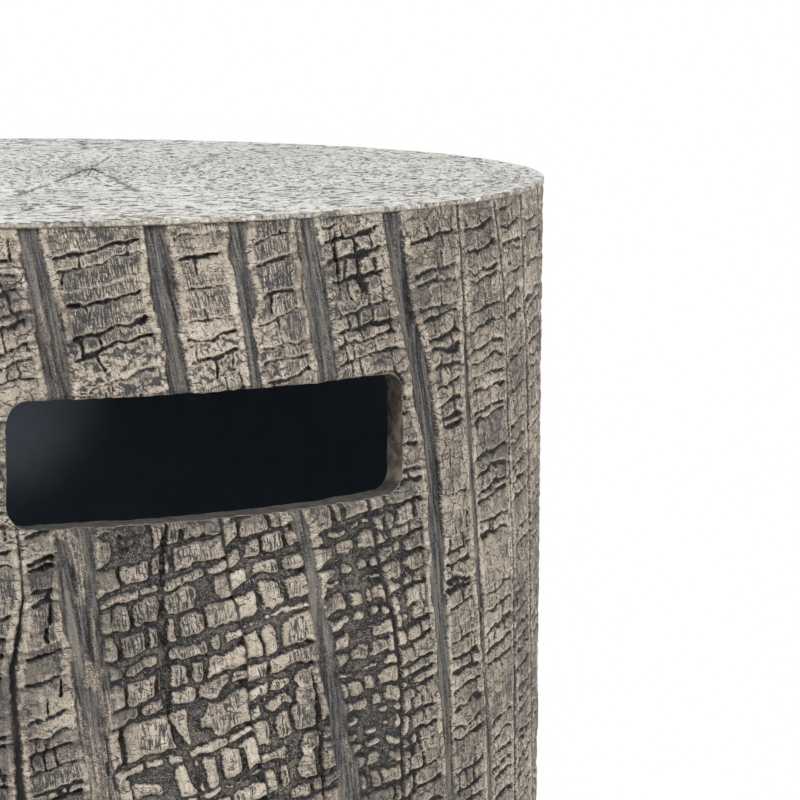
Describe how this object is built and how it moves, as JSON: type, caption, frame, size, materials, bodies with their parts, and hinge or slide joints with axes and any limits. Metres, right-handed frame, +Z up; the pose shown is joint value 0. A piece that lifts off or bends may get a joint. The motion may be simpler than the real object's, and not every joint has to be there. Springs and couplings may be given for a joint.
{
  "type": "propane tank cover table",
  "caption": "Round outdoor side table that hides a gas cylinder: a hollow cast drum like a charred log, open below, with a growth-ring top and hand-holes.",
  "frame": {"origin": "on the floor, on the drum's axis", "axes": "+Z up along the drum's axis; the two hand-holes face -Y (front) and +Y (rear)"},
  "size_m": [0.4, 0.4, 0.51],
  "materials": {
    "charred_cast_side": "matt paint, dark in the cracks",
    "cast_log_end": "matt pale paint over grey pits",
    "bond_adhesive": "cured bead",
    "insert_brass": "plain machined",
    "screw_steel": "zinc plated",
    "foot_rubber": "moulded"
  },
  "bodies": {
    "root": {"side_shell": "charred_cast_side", "table_top": "cast_log_end", "top_bond_ring": "bond_adhesive", "rim_inserts": "insert_brass", "foot_screws": "screw_steel", "foot_washers": "screw_steel", "rubber_foot_rear_right": "foot_rubber", "rubber_foot_rear_left": "foot_rubber", "rubber_foot_front_left": "foot_rubber", "rubber_foot_front_right": "foot_rubber"}
  },
  "joints": []
}
